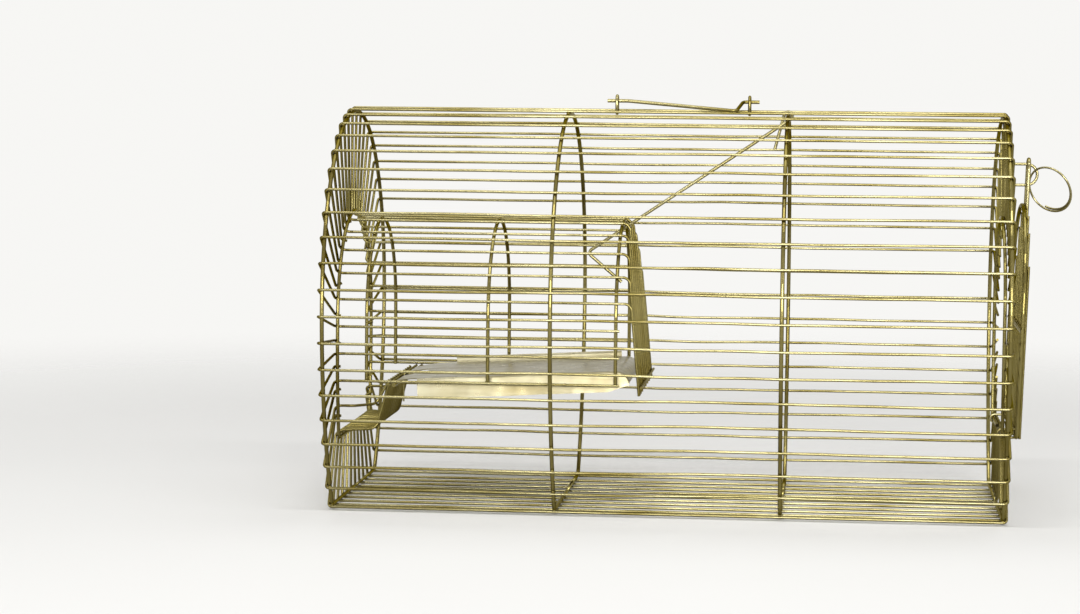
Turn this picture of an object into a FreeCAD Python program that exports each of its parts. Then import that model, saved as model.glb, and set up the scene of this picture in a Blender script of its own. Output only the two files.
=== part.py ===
import FreeCAD, Part
import math
import os

# Half-round wire cage trap with a tilting plate, a bait hook, a carrying handle and a rear door.
# Millimetres. +X runs from the entry end to the door end, +Z is up, the right side is -Y.
# The origin is on the ground, midway between the two end hoops.

Vector = FreeCAD.Vector
os.makedirs("parts", exist_ok=True)
doc = FreeCAD.newDocument("cage_trap")

# Driving sizes, one row of the sheet each

SIZES = {
    # cage
    "cage_length": 400.0,
    "arch_radius": 118.0,
    "cage_height": 242.0,
    "floor_half_width": 80.0,
    "floor_corner_radius": 6.0,
    "hoop_wire_radius": 1.25,
    "bar_radius": 0.85,
    "bar_pitch": 16.0,
    "front_middle_hoop_step": 134.5,
    "rear_middle_hoop_step": 131.0,
    "seat_gap": 0.02,
    "wire_end": 1.2,
    # mouth, entry step and tunnel
    "tunnel_half_width": 60.0,
    "tunnel_top_z": 174.0,
    "tunnel_rail_z": 76.0,
    "mouth_bend_radius": 4.0,
    "tunnel_hoop_wire_radius": 1.1,
    "front_tunnel_hoop_inset": 17.0,
    "middle_tunnel_hoop_inset": 91.0,
    "end_tunnel_hoop_inset": 168.5,
    "step_z": 45.0,
    "step_depth": 23.0,
    "step_mouth_half_width": 55.0,
    "step_riser_half_width": 43.0,
    "step_bend_radius": 5.0,
    "grille_top_inset": 173.0,
    "grille_lean": 10.0,
    "grille_bottom_z": 70.0,
    "grille_crossbar_rise": 5.0,
    # tilting plate
    "pivot_inset": 34.0,
    "pivot_wire_radius": 1.2,
    "pivot_clearance": 0.08,
    "plate_length": 143.0,
    "plate_side_clearance": 9.0,
    "plate_sheet": 0.6,
    "plate_flange": 13.0,
    "plate_slope": 3.2,
    "plate_leaf_length": 12.7,
    "plate_rise": 3.05,
    "plate_hem": 3.6,
    "plate_hem_start": 12.0,
    "plate_hem_end": 12.0,
    "plate_lip_radius": 9.0,
    "plate_corner_cut": 13.0,
    "knuckle_gap": 24.0,
    "knuckle_inset": 3.0,
    "knuckle_notch_margin": 1.0,
    "spring_wire_radius": 0.5,
    "spring_coil_gap": 0.35,
    "spring_pitch": 1.9,
    "spring_plate_leg": 11.2,
    "spring_riser_leg": 16.0,
    # door
    "opening_half_width": 56.0,
    "opening_top_z": 178.0,
    "opening_bottom_z": 50.0,
    "door_half_width": 62.0,
    "door_top_z": 186.0,
    "door_bottom_z": 50.0,
    "door_stand_off": 8.0,
    "door_lean": 1.8,
    "door_wire_radius": 1.25,
    "door_bar_pitch": 14.0,
    "door_crossbar_z": 113.0,
    "door_tongue_top_z": 214.0,
    "door_tongue_foot_z": 172.0,
    "door_tongue_half_width": 6.0,
    "door_tongue_wire_radius": 1.2,
    "hinge_loop_clearance": 0.35,
    "hinge_loop_wire_radius": 0.8,
    "staple_wire_radius": 0.9,
    "staple_z": 204.5,
    "staple_bend_radius": 6.4,
    "staple_reach": 20.9,
    "ring_radius": 14.7,
    "ring_wire_radius": 0.7,
    "ring_turn_angle": 38.0,
    "ring_lean_angle": 23.4,
    "ring_drop": 9.7,
    "ring_seat_inset": 3.4,
    "ring_seat_rise": 0.6,
    # bait hook
    "hook_wire_radius": 1.0,
    "hook_offset": 8.0,
    "hook_crest_clearance": 0.25,
    "hook_tail": 20.0,
    "hook_tail_side_step": 2.5,
    "hook_tail_lean": 5.5,
    "hook_grille_inset": 26.5,
    "hook_tunnel_drop": 20.7,
    "hook_point_drop": 18.0,
    "hook_point_run": 21.5,
    "hook_bend_radius": 2.5,
    # carrying handle
    "handle_wire_radius": 1.1,
    "handle_front_eye_x": -36.5,
    "handle_rear_eye_x": 45.2,
    "handle_eye_wire_radius": 1.1,
    "handle_eye_inner_radius": 2.0,
    "handle_eye_height": 4.6,
    "handle_reach": 22.0,
    "handle_front_run": 7.0,
    "handle_rear_run": 7.5,
    "handle_rear_hook": 4.0,
    "handle_end_overhang": 6.0,
    "handle_bend_radius": 2.5,
    "handle_seat_gap": 0.3,
}

sheet = doc.addObject("Spreadsheet::Sheet", "sizes")
for row, (alias, value) in enumerate(SIZES.items(), start=1):
    sheet.set(f"A{row}", alias)
    sheet.set(f"B{row}", str(value))
    sheet.setAlias(f"B{row}", alias)
doc.recompute()


class Sizes:
    """The values of the sheet, read back by alias."""

    def __getattr__(self, alias):
        return float(sheet.get(alias))


size = Sizes()

# Counts and shares, and the few places that everything else hangs on

WIRE_SIDES = 6
BEND_STEPS = 6
CORNER_STEPS = 3
RING_STEPS = 24
DOOR_ARCH_STEPS = 16
COIL_STEPS = 10
MITRE_SHARE = 1 - math.tan(math.pi / 8)
HOOP_TOUCH = size.hoop_wire_radius + size.bar_radius + size.seat_gap

FRONT_X = -size.cage_length / 2
REAR_X = size.cage_length / 2


# Outlines: arch, curved legs and floor in the YZ plane, walked from the crest to the right or left

def arch_outline(radius, top_z, foot_half_width, foot_z, corner_radius):
    """Half outline from the crest to the floor centre, as arcs (centre y, centre z, radius, from, to)."""
    centre_z = top_z - radius
    height = centre_z - foot_z
    inset = radius - foot_half_width
    leg = (height * height + inset * inset) / (2 * inset)
    return {"radius": radius, "centre_z": centre_z, "leg": leg, "foot_z": foot_z, "corner": corner_radius}


def outline_pieces(outline, offset):
    """Pieces of the half outline moved outwards by the offset: arcs and the last straight run."""
    radius, centre_z = outline["radius"], outline["centre_z"]
    leg, foot_z, corner = outline["leg"], outline["foot_z"], outline["corner"]
    corner_z = foot_z + corner
    leg_y = radius - leg
    corner_y = leg_y + math.sqrt((leg - corner) ** 2 - (centre_z - corner_z) ** 2)
    leg_turn = math.asin((centre_z - corner_z) / (leg - corner))
    quarter = math.pi / 2
    return [
        (0.0, centre_z, radius + offset, 0.0, quarter),
        (leg_y, centre_z, leg + offset, quarter, quarter + leg_turn),
        (corner_y, corner_z, corner + offset, quarter + leg_turn, math.pi),
    ]


def outline_point(piece, angle):
    centre_y, centre_z, radius = piece[:3]
    return centre_y + radius * math.sin(angle), centre_z + radius * math.cos(angle)


def walk(outline, distance, offset):
    """Point and outward direction at a distance from the crest, measured along the moved outline."""
    pieces = outline_pieces(outline, offset)
    for piece in pieces:
        length = piece[2] * (piece[4] - piece[3])
        if distance <= length or piece is pieces[-1]:
            angle = piece[3] + distance / piece[2]
            y, z = outline_point(piece, angle)
            return (y, z), (math.sin(angle), math.cos(angle))
        distance -= length
    return None


def run_to_corner(outline, offset):
    """Length from the crest to the middle of the floor corner."""
    pieces = outline_pieces(outline, offset)
    lengths = [piece[2] * (piece[4] - piece[3]) for piece in pieces]
    return lengths[0] + lengths[1] + lengths[2] / 2


# Wire pieces: straight rods, bent wires and swept paths, all bound to the sheet

def turn_to(direction):
    """Rotation that lays the Z axis along a direction."""
    return FreeCAD.Rotation(Vector(0, 0, 1), direction)


def rod(name, start, end, radius_alias):
    """Straight piece of wire between two points."""
    direction = end - start
    prism = doc.addObject("Part::Prism", name)
    prism.Polygon = WIRE_SIDES
    prism.setExpression("Circumradius", f"sizes.{radius_alias}")
    prism.Height = direction.Length
    prism.Placement = FreeCAD.Placement(start, turn_to(direction))
    return prism


def swept(name, points, radius_alias):
    """Bent wire through the points, mitred at each."""
    spine = doc.addObject("Part::Feature", name + "_path")
    spine.Shape = Part.makePolygon(points)
    section = doc.addObject("Part::RegularPolygon", name + "_section")
    section.Polygon = WIRE_SIDES
    section.setExpression("Circumradius", f"sizes.{radius_alias}")
    section.Placement = FreeCAD.Placement(points[0], turn_to(points[1] - points[0]))
    sweep = doc.addObject("Part::Sweep", name)
    sweep.Sections = [section]
    sweep.Spine = (spine, [f"Edge{index}" for index in range(1, len(points))])
    sweep.Solid = True
    sweep.Frenet = False
    sweep.Transition = "Right corner"
    return sweep


def round_end(centre, across, ahead, steps=BEND_STEPS):
    """Half turn about a centre, from across, through ahead, to minus across."""
    angles = [math.pi * index / steps for index in range(steps + 1)]
    return [centre + across * math.cos(angle) + ahead * math.sin(angle) for angle in angles]


def long_loop(first, last, across):
    """Closed run round two centres, which starts midway between them."""
    ahead = (last - first).normalize() * across.Length
    start = (first + last) / 2 + across
    return [start] + round_end(last, across, ahead) + round_end(first, across * -1, ahead * -1) + [start]


def softened(points, radius):
    """Polyline whose corners are cut into two half turns that touch an arc of the given radius."""
    result = [points[0]]
    for before, corner, after in zip(points, points[1:], points[2:]):
        inward = (before - corner).normalize()
        outward = (after - corner).normalize()
        turn = math.pi - inward.getAngle(outward)
        cut = radius * (math.tan(turn / 2) - math.tan(turn / 4))
        result.append(corner + inward * cut)
        result.append(corner + outward * cut)
    result.append(points[-1])
    return result


nodes = []


def keep(label, pieces):
    """Make the pieces one named sub-part of the cage trap."""
    if len(pieces) == 1:
        node = pieces[0]
    else:
        node = doc.addObject("Part::Compound", label + "_set")
        node.Links = pieces
    node.Label = label
    nodes.append(node)
    return node


# Arch of the cage, with curved legs and a flat bottom

hoop_foot_z = 2 * size.bar_radius + size.hoop_wire_radius + size.seat_gap
hoop_top_z = size.cage_height - size.bar_radius - HOOP_TOUCH
cage_outline = arch_outline(size.arch_radius, hoop_top_z, size.floor_half_width, hoop_foot_z,
                            size.floor_corner_radius)


# Long bars: thin wire laid on the outside of the hoops at an even pitch

side_run = run_to_corner(cage_outline, HOOP_TOUCH)
side_gaps = round(side_run / size.bar_pitch)
side_pitch = side_run / side_gaps
corner_bar_y = walk(cage_outline, side_run, HOOP_TOUCH)[0][0]
floor_gaps = round(2 * corner_bar_y / size.bar_pitch)


def bar_place(index, side):
    """Centre of a long bar, and the direction from the hoop to it."""
    (y, z), (out_y, out_z) = walk(cage_outline, index * side_pitch, HOOP_TOUCH)
    return Vector(0, side * y, z), Vector(0, side * out_y, out_z)


def floor_bar_places():
    """Centres of the floor bars between the two corner bars."""
    z = hoop_foot_z - HOOP_TOUCH
    places = []
    for index in range(1, floor_gaps):
        y = -corner_bar_y + 2 * corner_bar_y * index / floor_gaps
        places.append((Vector(0, y, z), Vector(0, 0, -1)))
    return places


def long_bar(name, place):
    return rod(name, place + Vector(FRONT_X, 0, 0), place + Vector(REAR_X, 0, 0), "bar_radius")


crest_place, crest_out = bar_place(0, 1)
keep("crest_bar", [long_bar("crest_rod", crest_place)])
for side_name, side in (("right", -1), ("left", 1)):
    rods = [long_bar(f"{side_name}_rod_{index}", bar_place(index, side)[0]) for index in range(1, side_gaps)]
    keep(f"{side_name}_side_bars", rods)
corner_places = [bar_place(side_gaps, side) for side in (-1, 1)]
floor_places = [corner_places[0]] + floor_bar_places() + [corner_places[1]]
keep("floor_bars", [long_bar(f"floor_rod_{index}", place) for index, (place, _) in enumerate(floor_places)])


# Hoops: thick wire bent to the arch, a corner under each bar, one at each end and two between

HOOP_PLACES = {
    "front_end_hoop": FRONT_X,
    "front_middle_hoop": FRONT_X + size.front_middle_hoop_step,
    "rear_middle_hoop": REAR_X - size.rear_middle_hoop_step,
    "rear_end_hoop": REAR_X,
}


def hoop_side(side):
    """Corners of a hoop from the bar next to the crest down to the floor."""
    corners = []
    for index in range(1, side_gaps):
        place, out = bar_place(index, side)
        corners.append(place - out * HOOP_TOUCH)
    corner_piece = outline_pieces(cage_outline, 0.0)[-1]
    for step in range(CORNER_STEPS + 1):
        angle = corner_piece[3] + (corner_piece[4] - corner_piece[3]) * step / CORNER_STEPS
        y, z = outline_point(corner_piece, angle)
        corners.append(Vector(0, side * y, z))
    return corners


hoop_corners = [Vector(0, 0, hoop_foot_z)] + hoop_side(1)[::-1] + [Vector(0, 0, hoop_top_z)] + hoop_side(-1)
hoop_corners.append(hoop_corners[0])
for label, x in HOOP_PLACES.items():
    corners = [corner + Vector(x, 0, 0) for corner in hoop_corners]
    keep(label, [swept(label, corners, "hoop_wire_radius")])


# Ends of the long bars: bent over the end hoops and run inwards over the end faces

face_step = HOOP_TOUCH


def over_hoop(end_x, outward_x, place, out):
    """Corner points of a bar that turns over an end hoop into the face plane."""
    cut = HOOP_TOUCH * MITRE_SHARE
    corner = place + Vector(end_x + outward_x * face_step, 0, 0)
    return [
        place + Vector(end_x, 0, 0),
        corner - Vector(outward_x * cut, 0, 0),
        corner - out * cut,
    ]


# Mouth: arch of the tunnel's size, with a lower part that opens over the entry step

tunnel_centre_z = size.tunnel_top_z - size.tunnel_half_width
tunnel_side_run = tunnel_centre_z - size.tunnel_rail_z
tunnel_arch_run = size.tunnel_half_width * math.pi / 2
MOUTH_UPPER_SHARE = 0.8
mouth_upper_gaps = 2 * round(MOUTH_UPPER_SHARE * side_gaps / 2)
mouth_upper_pitch = (tunnel_arch_run + tunnel_side_run) / mouth_upper_gaps
small_hoop_touch = size.bar_radius + size.tunnel_hoop_wire_radius + size.seat_gap


def bend_seat(bend_radius, across):
    """How far beyond a bent wire the ring lies that fills the inside of its bend."""
    return bend_radius - math.sqrt((bend_radius - small_hoop_touch) ** 2 - (bend_radius - across) ** 2)


mouth_ring_offset = bend_seat(size.mouth_bend_radius, face_step)


def mouth_point(index, side, shrink):
    """Place of a face wire at the mouth, the tunnel outline made smaller by the shrink."""
    distance = index * mouth_upper_pitch
    radius = size.tunnel_half_width - shrink
    if index > mouth_upper_gaps:
        lower = (index - mouth_upper_gaps) / (side_gaps - mouth_upper_gaps)
        z = size.tunnel_rail_z + (size.step_z - size.tunnel_rail_z) * lower
        y = radius + (size.step_mouth_half_width - size.tunnel_half_width) * lower
    elif distance > tunnel_arch_run:
        z = tunnel_centre_z - (distance - tunnel_arch_run)
        y = radius
    else:
        angle = distance / size.tunnel_half_width
        y = radius * math.sin(angle)
        z = tunnel_centre_z + radius * math.cos(angle)
    return Vector(0, side * y, z)


def front_face_wire(name, index, side):
    """Upper or side wire of the front face; every second one turns in and becomes a tunnel bar."""
    place, out = bar_place(index, side)
    points = over_hoop(FRONT_X, -1, place, out)
    face = Vector(FRONT_X - face_step, 0, 0)
    mouth = mouth_point(index, side, 0.0)
    if index % 2 == 0:
        cut = size.mouth_bend_radius * MITRE_SHARE
        target = face + mouth
        across = (target - points[-1]).normalize()
        points.append(target - across * cut)
        points.append(target + Vector(cut, 0, 0))
        points.append(target + Vector(size.mouth_bend_radius + face_step, 0, 0))
    else:
        ring = face + mouth_point(index, side, -mouth_ring_offset)
        across = (ring - points[-1]).normalize()
        points.append(ring + across * size.wire_end)
    return swept(name, points, "bar_radius")


for side_name, side in (("right", -1), ("left", 1)):
    wires = []
    for index in range(1, side_gaps):
        wires.append(front_face_wire(f"front_{side_name}_wire_{index}", index, side))
    keep(f"front_face_wires_{side_name}", wires)
keep("front_face_wire_crest", [front_face_wire("front_crest_wire", 0, 1)])


# Entry step: the floor bars rise over the front face, run inwards and rise again to the plate's pivot

floor_count = len(floor_places)
riser_foot_x = FRONT_X - face_step + size.step_depth
pivot_x = FRONT_X + size.pivot_inset
pivot_z = size.tunnel_rail_z - size.bar_radius - size.pivot_wire_radius - size.seat_gap
riser_crossbar_z = size.tunnel_rail_z - 2 * size.bar_radius - size.seat_gap
spring_outer_radius = size.pivot_wire_radius + size.spring_coil_gap + 2 * size.spring_wire_radius
riser_crossbar_x = pivot_x - spring_outer_radius - size.bar_radius - size.seat_gap
riser_top_x = riser_crossbar_x - 2 * size.bar_radius - size.seat_gap


def step_y(index, half_width):
    return -half_width + 2 * half_width * index / (floor_count - 1)


lower_wires = []
step_bars = []
riser_bars = []
for index, (place, out) in enumerate(floor_places):
    points = over_hoop(FRONT_X, -1, place, out)
    face_x = FRONT_X - face_step
    edge = Vector(face_x, step_y(index, size.step_mouth_half_width), size.step_z)
    up = (edge - points[-1]).normalize()
    cut = size.step_bend_radius * MITRE_SHARE
    foot = Vector(riser_foot_x, step_y(index, size.step_riser_half_width), size.step_z)
    along = (foot - edge).normalize()
    run_start = edge + along * size.step_bend_radius
    run_end = foot - along * size.step_bend_radius
    points += [edge - up * cut, edge + along * cut, run_start]
    lower_wires.append(swept(f"front_lower_wire_{index}", points, "bar_radius"))
    step_bars.append(rod(f"step_bar_{index}", run_start, run_end, "bar_radius"))
    top = Vector(riser_top_x, foot.y, riser_crossbar_z + size.wire_end)
    rise = (top - foot).normalize()
    riser_points = [run_end, foot - along * cut, foot + rise * cut, top]
    riser_bars.append(swept(f"riser_bar_{index}", riser_points, "bar_radius"))
keep("front_face_wires_lower", lower_wires)
keep("entry_step_bars", step_bars)
keep("entry_riser_bars", riser_bars)


# Tunnel: bars that start at the mouth, three small hoops inside them, and the leaning end grille

grille_top_x = FRONT_X + size.grille_top_inset
grille_height = size.tunnel_top_z - size.grille_bottom_z


def grille_x(z):
    return grille_top_x + size.grille_lean * (size.tunnel_top_z - z) / grille_height


tunnel_start_x = FRONT_X + size.mouth_bend_radius
grille_cut = size.mouth_bend_radius * MITRE_SHARE
tunnel_hoop_x = {
    "tunnel_front_hoop": FRONT_X + size.front_tunnel_hoop_inset,
    "tunnel_middle_hoop": FRONT_X + size.middle_tunnel_hoop_inset,
    "tunnel_end_hoop": FRONT_X + size.end_tunnel_hoop_inset,
}


def in_arch(index):
    return index * mouth_upper_pitch < tunnel_arch_run


def tunnel_bar(name, index, side):
    """Straight run of a tunnel bar, from the mouth to the end grille or the end hoop."""
    place = mouth_point(index, side, 0.0)
    if in_arch(index):
        end_x = grille_x(place.z) - size.mouth_bend_radius
    else:
        end_x = tunnel_hoop_x["tunnel_end_hoop"] + size.tunnel_hoop_wire_radius + size.wire_end
    return rod(name, place + Vector(tunnel_start_x, 0, 0), place + Vector(end_x, 0, 0), "bar_radius")


def grille_bar(name, index, side):
    """Bend and leaning run of a grille bar."""
    place = mouth_point(index, side, 0.0)
    corner = place + Vector(grille_x(place.z), 0, 0)
    foot = Vector(grille_x(size.grille_bottom_z), place.y, size.grille_bottom_z)
    down = (foot - corner).normalize()
    points = [corner - Vector(size.mouth_bend_radius, 0, 0), corner - Vector(grille_cut, 0, 0),
              corner + down * grille_cut, foot]
    return swept(name, points, "bar_radius")


tunnel_indices = list(range(2, mouth_upper_gaps, 2))
for side_name, side in (("right", -1), ("left", 1)):
    bars = [tunnel_bar(f"tunnel_{side_name}_bar_{index}", index, side) for index in tunnel_indices]
    keep(f"tunnel_bars_{side_name}", bars)
keep("tunnel_crest_bar", [tunnel_bar("tunnel_crest_rod", 0, 1)])
keep("tunnel_rails", [tunnel_bar(f"tunnel_rail_{side}", mouth_upper_gaps, side) for side in (-1, 1)])

grille_bars = [grille_bar("grille_bar_0", 0, 1)]
for side in (-1, 1):
    for index in tunnel_indices:
        if in_arch(index):
            grille_bars.append(grille_bar(f"grille_bar_{side}_{index}", index, side))
keep("tunnel_end_grille", grille_bars)

crossbar_z = size.grille_bottom_z + size.grille_crossbar_rise
crossbar_x = grille_x(crossbar_z) + 2 * size.bar_radius + size.seat_gap
keep("grille_crossbar", [rod("grille_cross_rod", Vector(crossbar_x, -size.tunnel_half_width, crossbar_z),
                             Vector(crossbar_x, size.tunnel_half_width, crossbar_z), "bar_radius")])


def arch_corners(x, shrink):
    """Corners of a small hoop, one at each face wire's place, from the right rail over to the left rail."""
    indices = [index for index in range(mouth_upper_gaps) if in_arch(index)] + [mouth_upper_gaps]
    right = [mouth_point(index, -1, shrink) for index in reversed(indices)]
    left = [mouth_point(index, 1, shrink) for index in indices[1:]]
    return [corner + Vector(x, 0, 0) for corner in right + left]


for label, x in tunnel_hoop_x.items():
    keep(label, [swept(label, arch_corners(x, small_hoop_touch), "tunnel_hoop_wire_radius")])


# Mouth ring: arch behind the front face wires, outside the tunnel bars, its feet bent to the step's edge

ring_foot_half = size.step_mouth_half_width + mouth_ring_offset
ring_bottom_z = size.step_z - bend_seat(size.step_bend_radius, face_step)
mouth_bottom = Vector(FRONT_X, 0, ring_bottom_z)
mouth_foot = Vector(0, ring_foot_half, 0)
mouth_corners = [mouth_bottom, mouth_bottom - mouth_foot] + arch_corners(FRONT_X, -mouth_ring_offset)
mouth_corners += [mouth_bottom + mouth_foot, mouth_bottom]
keep("mouth_ring", [swept("mouth_ring", mouth_corners, "tunnel_hoop_wire_radius")])

riser_span = size.tunnel_half_width
keep("riser_crossbar", [rod("riser_cross_rod",
                            Vector(riser_crossbar_x, -riser_span, riser_crossbar_z),
                            Vector(riser_crossbar_x, riser_span, riser_crossbar_z), "bar_radius")])
keep("pivot_rod", [rod("pivot_wire", Vector(pivot_x, -riser_span, pivot_z),
                       Vector(pivot_x, riser_span, pivot_z), "pivot_wire_radius")])


# Step rails: one side wire each side between the rail and the step, turned up behind the risers

step_rail_index = (mouth_upper_gaps + side_gaps) // 2
step_rails = []
for side in (-1, 1):
    start = mouth_point(step_rail_index, side, 0.0) + Vector(tunnel_start_x, 0, 0)
    bend = start + Vector(size.step_bend_radius, 0, 0)
    outside = side * (size.step_riser_half_width + 2 * size.bar_radius + size.seat_gap)
    foot = Vector(riser_foot_x, outside, start.z)
    top = Vector(riser_top_x, outside, riser_crossbar_z + size.wire_end)
    points = softened([start, bend, foot, top], size.step_bend_radius)
    step_rails.append(swept(f"step_rail_{side}", points, "bar_radius"))
keep("entry_step_rails", step_rails)


# Rear face: the long bars run inwards over the door opening ring

opening_centre_z = size.opening_top_z - size.opening_half_width
opening_arch_run = size.opening_half_width * math.pi / 2
opening_pitch = (opening_arch_run + opening_centre_z - size.opening_bottom_z) / side_gaps


def opening_point(index, side):
    """Place of a rear face wire on the door opening ring."""
    distance = index * opening_pitch
    if distance > opening_arch_run:
        return Vector(0, side * size.opening_half_width, opening_centre_z - (distance - opening_arch_run))
    angle = distance / size.opening_half_width
    return Vector(0, side * size.opening_half_width * math.sin(angle),
                  opening_centre_z + size.opening_half_width * math.cos(angle))


def rear_face_wire(name, place, out, target):
    """Wire from the rear end hoop to a little past the opening ring."""
    points = over_hoop(REAR_X, 1, place, out)
    ring = target + Vector(REAR_X + face_step, 0, 0)
    across = (ring - points[-1]).normalize()
    points.append(ring + across * size.wire_end)
    return swept(name, points, "bar_radius")


for side_name, side in (("right", -1), ("left", 1)):
    wires = []
    for index in range(1, side_gaps):
        place, out = bar_place(index, side)
        target = opening_point(index, side)
        wires.append(rear_face_wire(f"rear_{side_name}_wire_{index}", place, out, target))
    keep(f"rear_face_wires_{side_name}", wires)
crest_target = opening_point(0, 1)
keep("rear_face_wire_crest", [rear_face_wire("rear_crest_wire", crest_place, crest_out, crest_target)])
wires = []
for index, (place, out) in enumerate(floor_places):
    target = Vector(0, step_y(index, size.opening_half_width), size.opening_bottom_z)
    wires.append(rear_face_wire(f"rear_lower_wire_{index}", place, out, target))
keep("rear_face_wires_lower", wires)


opening_indices = [index for index in range(side_gaps) if index * opening_pitch < opening_arch_run]
opening_indices.append(side_gaps)
opening_bottom = Vector(0, 0, size.opening_bottom_z)
opening_corners = [opening_bottom] + [opening_point(index, -1) for index in reversed(opening_indices)]
opening_corners += [opening_point(index, 1) for index in opening_indices[1:]] + [opening_bottom]
keep("door_opening_ring", [swept("door_opening_ring",
                                 [corner + Vector(REAR_X, 0, 0) for corner in opening_corners],
                                 "tunnel_hoop_wire_radius")])


# Door: arched frame whose bottom bar is the hinge pin, upright bars, a crossbar and a slotted tongue

hinge_x = REAR_X + size.door_stand_off
hinge_point = Vector(hinge_x, 0, size.door_bottom_z)
lean_turn = FreeCAD.Rotation(Vector(0, 1, 0), size.door_lean)
door_lean = FreeCAD.Placement(Vector(0, 0, 0), lean_turn, hinge_point)
door_centre_z = size.door_top_z - size.door_half_width
door_bar_x = hinge_x + size.door_wire_radius + size.bar_radius + size.seat_gap
door_bar_count = int(size.door_half_width / size.door_bar_pitch)


def leaned(point):
    return door_lean.multVec(point)


door_foot = Vector(0, size.door_half_width, 0)
door_arch = round_end(Vector(hinge_x, 0, door_centre_z), door_foot * -1, Vector(0, 0, size.door_half_width),
                      DOOR_ARCH_STEPS)
door_corners = [hinge_point, hinge_point - door_foot] + door_arch + [hinge_point + door_foot, hinge_point]
keep("door_frame", [swept("door_frame", [leaned(corner) for corner in door_corners], "door_wire_radius")])
bars = []
for index in range(-door_bar_count, door_bar_count + 1):
    y = index * size.door_bar_pitch
    top_z = door_centre_z + math.sqrt(size.door_half_width ** 2 - y * y) + size.wire_end
    bars.append(rod(f"door_rod_{index}", leaned(Vector(door_bar_x, y, size.door_bottom_z - size.wire_end)),
                    leaned(Vector(door_bar_x, y, top_z)), "bar_radius"))
keep("door_bars", bars)
crossbar_reach = size.door_half_width - size.door_wire_radius
keep("door_crossbar", [rod("door_cross_rod", leaned(Vector(hinge_x, -crossbar_reach, size.door_crossbar_z)),
                           leaned(Vector(hinge_x, crossbar_reach, size.door_crossbar_z)),
                           "door_wire_radius")])
tongue_x = hinge_x + size.door_wire_radius + size.door_tongue_wire_radius + size.seat_gap
tongue_leg = Vector(0, size.door_tongue_half_width, 0)
tongue_foot = Vector(tongue_x, 0, size.door_tongue_foot_z)
tongue_head = Vector(tongue_x, 0, size.door_tongue_top_z - size.door_tongue_half_width)
tongue_corners = [tongue_foot - tongue_leg]
tongue_corners += round_end(tongue_head, tongue_leg * -1, Vector(0, 0, size.door_tongue_half_width))
tongue_corners.append(tongue_foot + tongue_leg)
keep("door_tongue", [swept("door_tongue", [leaned(corner) for corner in tongue_corners],
                           "door_tongue_wire_radius")])

loop_radius = size.door_wire_radius + size.hinge_loop_clearance + size.hinge_loop_wire_radius
loop_front_x = REAR_X - size.tunnel_hoop_wire_radius + loop_radius - size.hinge_loop_wire_radius
HINGE_LOOP_SHARE = 0.7
loops = []
for side in (-1, 1):
    y = side * HINGE_LOOP_SHARE * size.opening_half_width
    front = Vector(loop_front_x, y, size.door_bottom_z)
    rear = Vector(hinge_x, y, size.door_bottom_z)
    loops.append(swept(f"hinge_loop_{side}", long_loop(front, rear, Vector(0, 0, loop_radius)),
                       "hinge_loop_wire_radius"))
keep("door_hinge_loops", loops)


# Latch: staple on the crest wire of the rear face, through the tongue, with a split ring in it

staple_start_x = REAR_X + face_step + size.bar_radius + size.seat_gap
staple_end_x = REAR_X + size.staple_reach
staple_rise = Vector(0, 0, size.staple_bend_radius)
staple_foot = Vector(staple_start_x, 0, size.staple_z)
staple_bend = round_end(Vector(staple_end_x - size.staple_bend_radius, 0, size.staple_z), staple_rise,
                        Vector(size.staple_bend_radius, 0, 0))
keep("latch_staple", [swept("latch_staple",
                            [staple_foot + staple_rise] + staple_bend + [staple_foot - staple_rise],
                            "staple_wire_radius")])

seat = Vector(staple_end_x - size.ring_seat_inset, 0, size.staple_z + size.ring_seat_rise)
seat_angle = math.pi - math.asin(size.ring_drop / size.ring_radius)
ring_turn = FreeCAD.Rotation(Vector(0, 0, 1), -size.ring_turn_angle)
ring_across = ring_turn.multVec(Vector(size.ring_radius, 0, 0))
ring_lean = FreeCAD.Rotation(ring_across, size.ring_lean_angle)
ring_up = ring_lean.multVec(Vector(0, 0, size.ring_radius))
ring_centre = seat - ring_across * math.cos(seat_angle) - ring_up * math.sin(seat_angle)
ring_angles = [2 * math.pi * index / RING_STEPS for index in range(RING_STEPS + 1)]
ring_corners = [ring_centre + ring_across * math.cos(angle) + ring_up * math.sin(angle)
                for angle in ring_angles]
keep("latch_ring", [swept("latch_ring", ring_corners, "ring_wire_radius")])


# Plate spring: small coil round the middle of the pivot rod, one leg on the risers, one in the plate's notch

SPRING_TURNS = 5.2
spring_radius = size.pivot_wire_radius + size.spring_coil_gap + size.spring_wire_radius
pivot = Vector(pivot_x, 0, pivot_z)


def coil_place(step):
    """Corner of the coil: from the riser side of the rod over its top."""
    angle = math.pi - 2 * math.pi * step / COIL_STEPS
    along = size.spring_pitch * (step / COIL_STEPS - SPRING_TURNS / 2)
    return pivot + Vector(spring_radius * math.cos(angle), along, spring_radius * math.sin(angle))


coil = [coil_place(step) for step in range(round(SPRING_TURNS * COIL_STEPS) + 1)]
spring_corners = [coil[0] - Vector(0, 0, size.spring_riser_leg)] + coil
spring_corners.append(coil[-1] + Vector(size.spring_plate_leg, 0, 0))
keep("plate_spring", [swept("plate_spring", spring_corners, "spring_wire_radius")])
turn_gap = min(first.distanceToPoint(second) for index, first in enumerate(coil)
               for second in coil[index + COIL_STEPS // 2:]) - 2 * size.spring_wire_radius
print("plate spring: least gap between its turns", round(turn_gap, 3))


# Tilting plate: bent sheet with side flanges, a rounded lip and two rolled knuckles on the pivot rod

def plane_of(body, role):
    for feature in body.Origin.OriginFeatures:
        if feature.Role == role:
            return feature
    return None


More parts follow.
